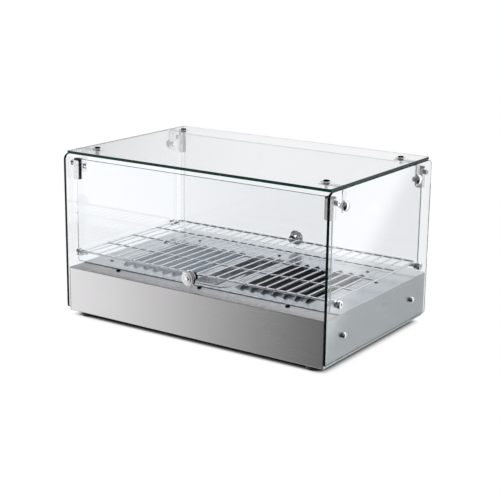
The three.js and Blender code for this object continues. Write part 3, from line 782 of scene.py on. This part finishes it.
def louvre_hood(x, side, top):
    """The pressed hood over one louvre, as a closed shell.

    Spokes run from the middle of the lip to the foot, and fan out round both ends. The hood laps
    a little over the edge of its hole.
    """
    radial, thick, lap = 7, 0.9, 1.004
    front, rear = LOUVRE_Y[0] + LOUVRE_END, LOUVRE_Y[1] - LOUVRE_END
    quarter = [i / LOUVRE_STEPS * math.pi / 2 for i in range(LOUVRE_STEPS + 1)]
    spokes = [(front, -side * math.sin(angle), -math.cos(angle)) for angle in quarter]
    spokes += [(front + (rear - front) * i / 10, -side, 0) for i in range(1, 10)]
    spokes += [(rear, -side * math.sin(angle), math.cos(angle)) for angle in reversed(quarter)]
    vertices, faces = [], []
    for drop in (0.0, thick):
        for y, towards_x, towards_y in spokes:
            for k in range(radial + 1):
                share = k / radial
                vertices.append((
                    x + towards_x * LOUVRE_WIDTH * share * lap,
                    y + towards_y * LOUVRE_END * share * lap,
                    top - 0.02 - drop + LOUVRE_HEIGHT * hood_height(1 - share),
                ))
    columns, lower = radial + 1, len(spokes) * (radial + 1)
    rim = []
    for start in range(0, lower - columns, columns):
        for k in range(start, start + radial):
            quad = (k, k + 1, k + 1 + columns, k + columns)
            faces += [quad, tuple(lower + i for i in quad)]
        rim += [(start + radial, start + radial + columns), (start, start + columns)]
    for start in (0, lower - columns):
        rim += [(k, k + 1) for k in range(start, start + radial)]
    faces += [(first, second, lower + second, lower + first) for first, second in rim]
    return vertices, faces


def deck_plate():
    """The deck sheet in a lighter copy of the steel as painted light, with its pan hole and louvre
    holes, and the hoods, in a darker copy as painted shade.
    """
    low, high = corner_values("deck_plate")
    pan_low, pan_high = corner_values("water_pan")
    rim = 5
    under_rim = rectangle((pan_low.x + rim, pan_high.x - rim), (pan_low.y + rim, pan_high.y - rim), 14)
    loops = [rectangle((low.x, high.x), (low.y, high.y), 0.8, 3), hole(under_rim)]
    top = low.z + SHEET
    hoods = []
    for _, side in SIDES:
        for i in range(LOUVRE_COUNT):
            x = side * (LOUVRE_FIRST_X + i * LOUVRE_PITCH)
            loops.append(louvre_footprint(x, side))
            hoods.append(louvre_hood(x, side, top))
    sheet = plate(loops, low.z, top, "z", 0.25)[:2]
    vertices, faces = joined([sheet, *hoods])
    make_piece("deck_sheet", vertices, faces, "deck_plate", material=LIT_DECK_STEEL,
               second_material=SHADED_HOOD_STEEL, second_faces=range(len(sheet[1]), len(faces)))


def water_pan():
    """A basin with round corners. Its section lists (distance inwards from the wall, height)."""
    low, high = corner_values("water_pan")
    rim = 6
    basin = rectangle((low.x + rim, high.x - rim), (low.y + rim, high.y - rim), 13)
    top, bottom = high.z, low.z
    section = [
        (12, bottom + 1), (3.0, bottom + 1), (1.6, bottom + 2), (1.0, bottom + 5),
        (1.0, top - 1.6), (0.5, top - 0.5), (-0.8, top), (-rim + 0.4, top),
        (-rim, top - 0.4), (-rim, top - 1), (0, top - 1), (0, bottom + 4),
        (0.7, bottom + 1.2), (2.2, bottom), (12, bottom),
    ]
    rings = [[(a, b, z) for a, b in basin(offset)] for offset, z in section]
    make_piece("water_pan_shell", *stack(rings), "water_pan", sharp=40)


def screw(name, profile, place, rounding, recess, material):
    """A screw head with a cross recess, whose bottom lies at the recess height above the sheet."""
    made = turned_piece(name, profile, place, UP, rounding, 32, body="case", material=material)
    x, y, z = place
    arm, width = 1.9, 0.45
    for half_x, half_y in ((arm, width), (width, arm)):
        cut(made, [block((x - half_x, y - half_y, z + recess), (x + half_x, y + half_y, z + 4), 0)])


def screws():
    """Black screws in the bare strip, and grey ones in the deck."""
    strip_top = corner_values("front_panel")[1].z
    profile = [(0, 0.02), (4.1, 0.02), (4.1, 0.9), (3.5, 1.7), (2.0, 2.0), (0, 2.1)]
    for index, (x, y) in enumerate(STRIP_SCREWS):
        screw(f"strip_screw_{index + 1}", profile, (x, y, strip_top), 0.15, 1.3, BLACK_STEEL)
    deck_top = corner_values("deck_plate")[0].z + SHEET
    profile = [(0, 0.05), (3.6, 0.05), (3.4, 0.8), (2.2, 1.5), (0, 1.7)]
    for index, (x, y) in enumerate(DECK_SCREWS):
        screw(f"deck_screw_{index + 1}", profile, (x, y, deck_top), 0.2, 0.9, GREY_STEEL)


def foot(end, side):
    """A rubber foot with a hollow in its underside and a stud that rises into the base."""
    name = f"{end}_{side}_foot"
    low, high = corner_values(name)
    radius = (high.x - low.x) / 2
    top = 9.2
    profile = [
        (0, 1.2), (4.5, 1.2), (5.2, 0.0), (radius - 1.6, 0), (radius, 1.6), (radius - 1.0, top),
        (4, top), (4, high.z), (0, high.z),
    ]
    turned_piece(f"{name}_rubber", profile, (*middle(name).xy, 0), UP, 0.6, node_name=name)


def heating_elements():
    """Tubular heaters, each a U with both ends at the rear."""
    for side, _ in SIDES:
        name = f"{side}_heating_element"
        low, high = corner_values(name)
        radius, bend = 4, 22
        inner, outer = sorted((low.x + radius, high.x - radius), key=abs)
        front, rear = low.y + radius, high.y
        height = middle(name).z
        towards = 1 if outer > inner else -1
        points = [(inner, rear, height)]
        corners = ((inner + towards * bend, math.pi), (outer - towards * bend, 1.5 * math.pi))
        for corner_x, start in corners:
            for i in range(9):
                angle = start + i / 8 * math.pi / 2
                points.append((
                    corner_x + towards * bend * math.cos(angle),
                    front + bend + bend * math.sin(angle),
                    height,
                ))
        points.append((outer, rear, height))
        make_piece(f"{name}_tube", *sweep(points, radius, 16), name)


# ---- Glass ----


def glass_pane(name, loops, low, high, axis, arris, edge):
    """A clear pane whose ground edges wear the edge material."""
    vertices, faces, edge_faces = plate(loops, low, high, axis, arris)
    make_piece(f"{name}_glass", vertices, faces, name, second_material=edge, second_faces=edge_faces)


def side_pane(side):
    name = f"{side}_pane"
    low, high = corner_values(name)
    loops = [rectangle((low.y, high.y), (low.z, high.z), (4, 4, 11, 11))]
    for end, _ in ENDS:
        for fitting in ("side_bolt", "hinge_pivot", "rack_stud", "base_bolt"):
            centre = middle(f"{end}_{side}_{fitting}")
            loops.append(circle(centre.y, centre.z, BOLT_HOLE))
    glass_pane(name, loops, low.x, high.x, "x", ARRIS, PANE_EDGE)


def top_pane():
    low, high = corner_values("top_pane")
    loops = [rectangle((low.x, high.x), (low.y, high.y), 4)]
    for end, side in CORNERS:
        centre = middle(f"{end}_{side}_top_bolt")
        loops.append(circle(centre.x, centre.y, BOLT_HOLE))
    glass_pane("top_pane", loops, low.z, high.z, "z", TOP_ARRIS, TOP_EDGE)


def door_pane(end):
    name = f"{end}_door_pane"
    low, high = corner_values(name)
    knob = middle(f"{end}_door_knob")
    loops = [rectangle((low.x, high.x), (low.z, high.z), 3), circle(knob.x, knob.z, 3)]
    glass_pane(name, loops, low.y, high.y, "y", ARRIS, DOOR_EDGE)


# ---- Fittings ----


def bracket(end, side, sign):
    name = f"{end}_{side}_bracket"
    low, high = corner_values(name)
    thick = 2.2
    outer, inner = outer_first(low.x, high.x, sign)
    path = [
        (inner, high.z - thick / 2),
        (outer - sign * thick / 2, high.z - thick / 2),
        (outer - sign * thick / 2, low.z),
    ]
    make_piece(f"{name}_angle", *folded(path, thick, "y", low.y, high.y, 1.2), name)


def top_bolt(end, side):
    """A bolt set with a flat cap and a black disc that paints the dark reflection in the chrome cap,
    its heights counted from the top of the glass.
    """
    name = f"{end}_{side}_top_bolt"
    low, _ = corner_values(name)
    glass = corner_values("top_pane")[1].z
    profile = [
        (0, low.z - glass), (5, low.z - glass), (5, -8.1), (2.8, -8.1), (2.8, 0.3), (9, 0.3),
        (9, 1.5), (8.2, 1.9), (4.5, 1.9), (0, 1.9),
    ]
    place = (*middle(name).xy, glass)
    turned_piece(f"{name}_set", profile, place, UP, 0.35, node_name=name)
    # Painted reflection: a black disc for the dark middle that the chrome cap mirrors.
    dark_reflection_disc = [(0, 1.6), (5.6, 1.6), (5.6, 2.5), (4.6, 3.5), (2.2, 3.9), (0, 3.9)]
    turned_piece(f"{name}_button", dark_reflection_disc, place, UP, 0.5, 32, body=BODY_OF[name], material=BLACK_STEEL)


def outward_fitting(name, profile, suffix, rounding):
    """A turned fitting on a side pane, its heights counted outwards from the glass."""
    centre = middle(name)
    side, sign = SIDES[1] if centre.x > 0 else SIDES[0]
    low, high = corner_values(f"{side}_pane")
    place = (outer_first(low.x, high.x, sign)[0], centre.y, centre.z)
    turned_piece(f"{name}_{suffix}", profile, place, (sign, 0, 0), rounding, node_name=name)


def side_bolt(end, side):
    profile = [
        (0, -14.1), (5, -14.1), (5, -8.1), (2.8, -8.1), (2.8, 0.3), (9, 0.3), (9, 1.2), (8.5, 2.2),
        (7.4, 3.3), (5.6, 4.3), (3.2, 5.0), (0, 5.3),
    ]
    outward_fitting(f"{end}_{side}_side_bolt", profile, "set", 1.0)


def rack_stud(end, side):
    profile = [
        (0, -21.0), (3, -21.0), (3, -9.3), (6, -9.3), (6, -5.3), (3, -5.3), (3, 0.3), (7.5, 0.3),
        (7.5, 4.2), (6.4, 5.8), (2.4, 5.8), (2.2, 4.4), (0, 4.4),
    ]
    outward_fitting(f"{end}_{side}_rack_stud", profile, "turned", 0.6)


def base_bolt(end, side):
    profile = [
        (0, -11.8), (5, -11.8), (5, -7.1), (2.8, -7.1), (2.8, 0.3), (5.5, 0.3), (5.5, 1.4),
        (4.6, 3.2), (2.6, 4.3), (0, 4.6),
    ]
    outward_fitting(f"{end}_{side}_base_bolt", profile, "set", 0.6)


def hinge_pivot(end, side):
    profile = [
        (0, -10.0), (2, -10.0), (2, -6.9), (4.6, -6.9), (4.6, -5.3), (3.2, -5.3), (3.2, 0.3),
        (5.3, 0.3), (5.3, 2.2), (4.4, 3.2), (1.8, 3.2), (1.7, 2.0), (0, 2.0),
    ]
    outward_fitting(f"{end}_{side}_hinge_pivot", profile, "pin", 0.3)


def hinge_clip(end, side, sign):
    """A bright clip round the door's upper corner, on black gaskets, under a black cap."""
    name = f"{end}_{side}_hinge_clip"
    low, high = corner_values(name)
    door_low, door_high = corner_values(f"{end}_door_pane")
    thick = 1.6
    outer, inner = outer_first(low.x, high.x, sign)
    inner += sign * 1.6         # the black pieces stick out past the bright ones
    glass_end = outer_first(door_low.x, door_high.x, sign)[0]
    top = high.z - 3.2
    cheeks = [
        block((inner, low.y, low.z), (outer, low.y + thick, top), 0.4),
        block((inner, high.y - thick, low.z), (outer, high.y, top), 0.4),
        block((glass_end + sign * 0.6, low.y + 0.5, low.z), (outer, high.y - 0.5, top), 0.4),
    ]
    make_piece(f"{name}_body", *joined(cheeks), name, material=SATIN_NICKEL)
    cap_low = (inner - sign * 1.0, low.y + 0.3, top - 0.6)
    cap_high = (outer - sign * 0.6, high.y - 0.3, high.z)
    black = [block(cap_low, cap_high, 0.6)]
    for start, stop in ((low.y + thick, door_low.y), (door_high.y, high.y - thick)):
        gasket_low = (inner - sign * 1.4, start - 0.6, low.z + 1)
        black.append(block(gasket_low, (glass_end, stop - 0.05, top - 0.7), 0.2))
    make_piece(f"{name}_gasket", *joined(black), body=BODY_OF[name], slot="black_rubber")


def on_door(end, sign, name):
    """The place on a door's outer face where the axis of a piece meets it."""
    centre = middle(name)
    low, high = corner_values(f"{end}_door_pane")
    return (centre.x, outer_first(low.y, high.y, sign)[0], centre.z)


def door_knob(end, sign):
    """A knob with turned steps on its face, on a black washer and a brass collar."""
    name = f"{end}_door_knob"
    place = on_door(end, sign, name)
    outwards = (0, sign, 0)
    profile = [
        (0, 9.4), (2.4, 9.4), (2.4, 6.0), (4.3, 6.0), (4.3, 10), (6.6, 13.2), (12.6, 14.9),
        (14.4, 16.0), (15.0, 17.0), (14.9, 17.6), (13.2, 20.4), (12.2, 20.45), (11.9, 20.0),
        (11.3, 20.0), (11.0, 21.3), (8.4, 21.35), (8.1, 20.9), (7.5, 20.9), (7.2, 22.1),
        (4.4, 22.15), (4.1, 21.7), (3.6, 21.7), (3.3, 22.8), (0, 22.85),
    ]
    turned_piece(f"{name}_turned", profile, place, outwards, 0.3, 64, node_name=name,
                 material=POLISHED_NICKEL)
    washer = [(2.5, 0.3), (7, 0.3), (7, 1.7), (6.2, 2.4), (2.5, 2.4), (2.5, 0.3)]
    collar = [(2.5, 2.5), (4.6, 2.5), (5.0, 3.4), (4.6, 5.0), (4.0, 5.9), (2.5, 5.9), (2.5, 2.5)]
    for part, ring, metal in (("washer", washer, BLACK_STEEL), ("collar", collar, BRASS)):
        turned_piece(f"{end}_knob_{part}", ring, place, outwards, 0.2, body=BODY_OF[name],
                     material=metal)


def knob_screw(end, sign):
    name = f"{end}_knob_screw"
    profile = [
        (0, -7.0), (2.6, -7.0), (4.2, -6.2), (4.5, -5.4), (4.5, -4.3), (1.9, -4.3), (1.9, 9.2),
        (0, 9.2),
    ]
    place = on_door(end, sign, name)
    turned_piece(f"{name}_turned", profile, place, (0, sign, 0), 0.3, node_name=name)


# ---- Rack ----


def wire_rack():
    """An outer wire bent to a rectangle, cross wires inside it, and a row of thin wires on top."""
    low, high = corner_values("wire_rack")
    half_x, half_y = high.x - LOOP_WIRE, high.y - LOOP_WIRE
    height = low.z + LOOP_WIRE * math.cos(math.pi / 8)
    loop = rectangle((-half_x, half_x), (-half_y, half_y), RACK_CORNER, 8)()
    wires = [sweep([(a, b, height) for a, b in loop], LOOP_WIRE, 16, closed=True)]
    for i in range(1, CROSS_BAYS):
        y = -half_y + i * 2 * half_y / CROSS_BAYS
        wires.append(sweep([(-half_x, y, height), (half_x, y, height)], CROSS_WIRE, 14))
    row_height = high.z - ROW_WIRE
    for i in range(1, RACK_BAYS):
        x = -half_x + i * 2 * half_x / RACK_BAYS
        end = half_y + LOOP_WIRE * 0.5
        wires.append(sweep([(x, -end, row_height), (x, end, row_height)], ROW_WIRE, 12))
    make_piece("wire_rack_welded", *joined(wires), "wire_rack", material=SHADED_WIRE_CHROME, sharp=50)


# ---- Rear controls ----


def thermostat_knob():
    """A dial with a fluted grip and a white pointer."""
    name = "thermostat_knob"
    low, high = corner_values(name)
    centre = middle(name)

    def fluted(radius, angle):
        return radius - (0.9 * max(0.0, math.cos(12 * angle)) if 12.5 < radius < 15.6 else 0.0)

    profile = [
        (0, 8.8), (3.5, 8.8), (3.5, 0), (18, 0), (18, 1.4), (16.2, 2.8), (15.3, 3.4), (14.2, 10.4),
        (13.4, 11.4), (11.8, 12.0), (0, 12.0),
    ]
    place = (centre.x, low.y, centre.z)
    turned_piece(f"{name}_body", profile, place, REARWARDS, 0.4, 144, fluted, node_name=name)
    pointer_low = (centre.x - 0.7, high.y - 0.6, centre.z + 4)
    pointer = block(pointer_low, (centre.x + 0.7, high.y, centre.z + 12), 0.15)
    make_piece(f"{name}_pointer", *pointer, body=BODY_OF[name], material=WHITE_INK)


def pilot_lamp():
    name = "pilot_lamp"
    centre = middle(name)
    place = (centre.x, corner_values(name)[1].y - 6, centre.z)
    profile = [
        (0, -16), (4.4, -16), (4.4, 0.3), (7, 0.3), (7, 1.8), (5.2, 2.2), (4.9, 3.6), (4.0, 5.0),
        (2.2, 5.8), (0, 6),
    ]
    turned_piece(f"{name}_lens", profile, place, REARWARDS, 0.4, node_name=name)


def switch_housing():
    """A bezel and a sleeve round the rocker's well, on a closed body."""
    low, high = corner_values("switch_housing")
    wall, margin = 2.6, 1.4

    def outline(inset, radius, steps):
        u, v = (low.x + inset, high.x - inset), (low.z + inset, high.z - inset)
        return rectangle(u, v, radius, steps)

    well = hole(outline(wall, 0.6, 3))
    bezel = plate([outline(0, 1.5, 6), well], high.y - 1.6, high.y, "y", 0.35)[:2]
    sleeve = plate([outline(margin, 0.8, 3), well], high.y - 8.9, high.y - 1.5, "y", 0.1)[:2]
    body_high = (high.x - margin, high.y - 8.8, high.z - margin)
    body = block((low.x + margin, low.y, low.z + margin), body_high, 0.3)
    make_piece("switch_housing_shell", *joined([bezel, sleeve, body]), "switch_housing")


def cord_gland():
    name = "cord_gland"
    centre = middle(name)
    place = (centre.x, corner_values(name)[1].y - 11.5, centre.z)
    profile = [
        (4.2, -14), (7, -14), (7, -9), (10, -9), (10, -1.5), (7, -1.5), (7, 0.3), (11, 0.3),
        (11, 3.5), (8.8, 4.6), (8.2, 8), (7.5, 11.0), (6.8, 11.5), (4.2, 11.5), (4.2, -14),
    ]
    turned_piece(f"{name}_bushing", profile, place, REARWARDS, 0.3, node_name=name)


# ---- Carried-over CAD nodes ----


def paint_cad_nodes():
    """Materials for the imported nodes, some of which stay as they are."""
    for name, shown in frame["nodes"].items():
        # The side panels wear the darker copy of the steel: painted shade.
        material = SHADED_SIDE_STEEL if name.endswith("side_panel") else MATERIALS[SLOT_OF[name]]
        shown.data.materials.clear()
        shown.data.materials.append(material)


# ---- Stage ----


def studio_level(tree, direction):
    """Brightness of the studio as shiny pieces mirror it.

    A large soft box hangs over the rear, with a strip light to its left. Below them the surroundings
    differ all round: dark at the front and on the right, a bright table from the left to the rear, a
    grey wall with a brighter band above the table, and a bright panel with a slanting edge at the
    rear right.
    """
    x, y, z = node(tree, "SeparateXYZ", {"Vector": direction}).outputs
    from_front = math_node(tree, "MULTIPLY", y, -1.0)
    to_left = math_node(tree, "MULTIPLY", x, -1.0)
    turn = math_node(tree, "ARCTAN2", to_left, from_front)

    def product(first, second):
        return math_node(tree, "MULTIPLY", first, second)

    def total(first, second):
        return math_node(tree, "ADD", first, second)

    def rest_of(share):
        return math_node(tree, "SUBTRACT", 1.0, share)

    def all_round(steps):
        ramps = [
            ramp(tree, turn, math.radians(start), math.radians(end), low, high)
            for start, end, low, high in steps
        ]
        return reduce(total, ramps)

    table = product(all_round(TABLE_STEPS), ramp(tree, z, -0.60, -0.38, 0.35, 1.0))
    wall = all_round(WALL_STEPS)
    above = ramp(tree, z, -0.02, 0.05)
    left = total(product(table, rest_of(above)), product(wall, above))
    slant = node(tree, "VectorMath", {0: direction, 1: PANEL_EDGE}, operation="DOT_PRODUCT")
    panel = ramp(tree, slant.outputs["Value"], -0.010, 0.010, PANEL_BRIGHT, PANEL_DARK)
    rear_right = product(panel, all_round(PANEL_STEPS))
    surroundings = math_node(tree, "MAXIMUM", left, rear_right)
    rear_half = ramp(tree, y, 0.42, 0.60)
    left_strip = product(ramp(tree, x, -0.40, -0.46), ramp(tree, y, -0.05, 0.10))
    overhead = math_node(tree, "MAXIMUM", rear_half, left_strip)
    soft_box = product(ramp(tree, z, *SOFT_BOX), overhead)
    return total(product(surroundings, rest_of(soft_box)), product(soft_box, SOFT_BOX_LEVEL))


def world():
    """White where it is seen, the studio where it is mirrored, an even glow for matt pieces."""
    made = bpy.data.worlds.new("studio")
    bpy.context.scene.world = made
    made.use_nodes = True
    tree = made.node_tree
    tree.nodes.clear()
    direction = node(tree, "TexCoord").outputs["Generated"]
    path = node(tree, "LightPath")
    mirrored = math_node(tree, "GREATER_THAN", path.outputs["Glossy Depth"], 0.5)
    scattered = math_node(tree, "GREATER_THAN", path.outputs["Diffuse Depth"], 0.5)
    studio = node(tree, "Background", {"Color": studio_level(tree, direction)})
    white = node(tree, "Background", {"Color": shade(1.0)})
    glow = node(tree, "Background", {"Color": shade(0.7)})
    output = node(tree, "OutputWorld")
    shader = shader_between(tree, mirrored, white.outputs[0], studio.outputs[0])
    shader = shader_between(tree, scattered, shader, glow.outputs[0])
    tree.links.new(shader, output.inputs["Surface"])


def floor():
    """Pale glowing paper with a painted contact shadow, darker in the gap under the case. Mirrors and
    views from below pass through it.
    """
    size = 30.0
    mesh = bpy.data.meshes.new("floor")
    corners = [(-size, -size, 0), (size, -size, 0), (size, size, 0), (-size, size, 0)]
    mesh.from_pydata(corners, [], [(0, 1, 2, 3)])
    made = new_object("floor", mesh)
    material, tree = new_material("floor")
    # The paper glows, and its shade under the case is painted from how open each point lies.
    opening = node(tree, "AmbientOcclusion", {"Distance": 0.1}, samples=24)
    curve = node(tree, "ValToRGB", {"Fac": opening.outputs["AO"]})
    stops = curve.color_ramp.elements
    while len(stops) < len(FLOOR_SHADOW_STOPS):
        stops.new(0.5)
    for stop, (place, level) in zip(stops, FLOOR_SHADOW_STOPS):
        stop.position = place
        stop.color = shade(level)
    paper = node(tree, "Emission", {"Color": curve.outputs[0]})
    clear = node(tree, "BsdfTransparent")
    below = node(tree, "NewGeometry").outputs["Backfacing"]
    path = node(tree, "LightPath")
    mirrored = math_node(tree, "GREATER_THAN", path.outputs["Glossy Depth"], 0.5)
    matt = math_node(tree, "LESS_THAN", path.outputs["Diffuse Depth"], 0.5)
    passes = math_node(tree, "MAXIMUM", below, math_node(tree, "MULTIPLY", mirrored, matt))
    show(tree, shader_between(tree, passes, paper.outputs[0], clear.outputs[0]))
    mesh.materials.append(material)


def overhead_light():
    """A soft sun that shiny pieces don't mirror."""
    data = bpy.data.lights.new("overhead", "SUN")
    data.energy = 0.8
    data.angle = math.radians(22)
    new_object("overhead", data).visible_glossy = False


def camera():
    azimuth, elevation = math.radians(CAMERA_AZIMUTH), math.radians(CAMERA_ELEVATION)
    back = Vector((
        math.sin(azimuth) * math.cos(elevation),
        -math.cos(azimuth) * math.cos(elevation),
        math.sin(elevation),
    ))
    aim = (CAD_BOX[0] + CAD_BOX[1]) / 2 + Vector(CAMERA_AIM)
    data = bpy.data.cameras.new("camera")
    data.lens = CAMERA_LENS
    data.sensor_width = 36
    made = new_object("camera", data)
    turn = (-back).to_track_quat("-Z", "Y").to_matrix().to_4x4()
    roll = Matrix.Rotation(math.radians(CAMERA_ROLL), 4, "Z")
    made.matrix_world = Matrix.Translation(aim + back * CAMERA_DISTANCE) @ turn @ roll
    bpy.context.scene.camera = made


# ---- Build ----

bpy.context.scene.view_settings.view_transform = "Standard"
camera()
world()
floor()
overhead_light()
paint_cad_nodes()
front_panel()
rear_panel()
deck_plate()
water_pan()
screws()
for end_name, side_name in CORNERS:
    foot(end_name, side_name)
heating_elements()
top_pane()
wire_rack()
thermostat_knob()
pilot_lamp()
switch_housing()
cord_gland()
for side_name, side_sign in SIDES:
    side_panel(side_name, side_sign)
    side_pane(side_name)
for end_name, end_sign in ENDS:
    door_pane(end_name)
    door_knob(end_name, end_sign)
    knob_screw(end_name, end_sign)
    for side_name, side_sign in SIDES:
        bracket(end_name, side_name, side_sign)
        top_bolt(end_name, side_name)
        side_bolt(end_name, side_name)
        rack_stud(end_name, side_name)
        base_bolt(end_name, side_name)
        hinge_pivot(end_name, side_name)
        hinge_clip(end_name, side_name, side_sign)
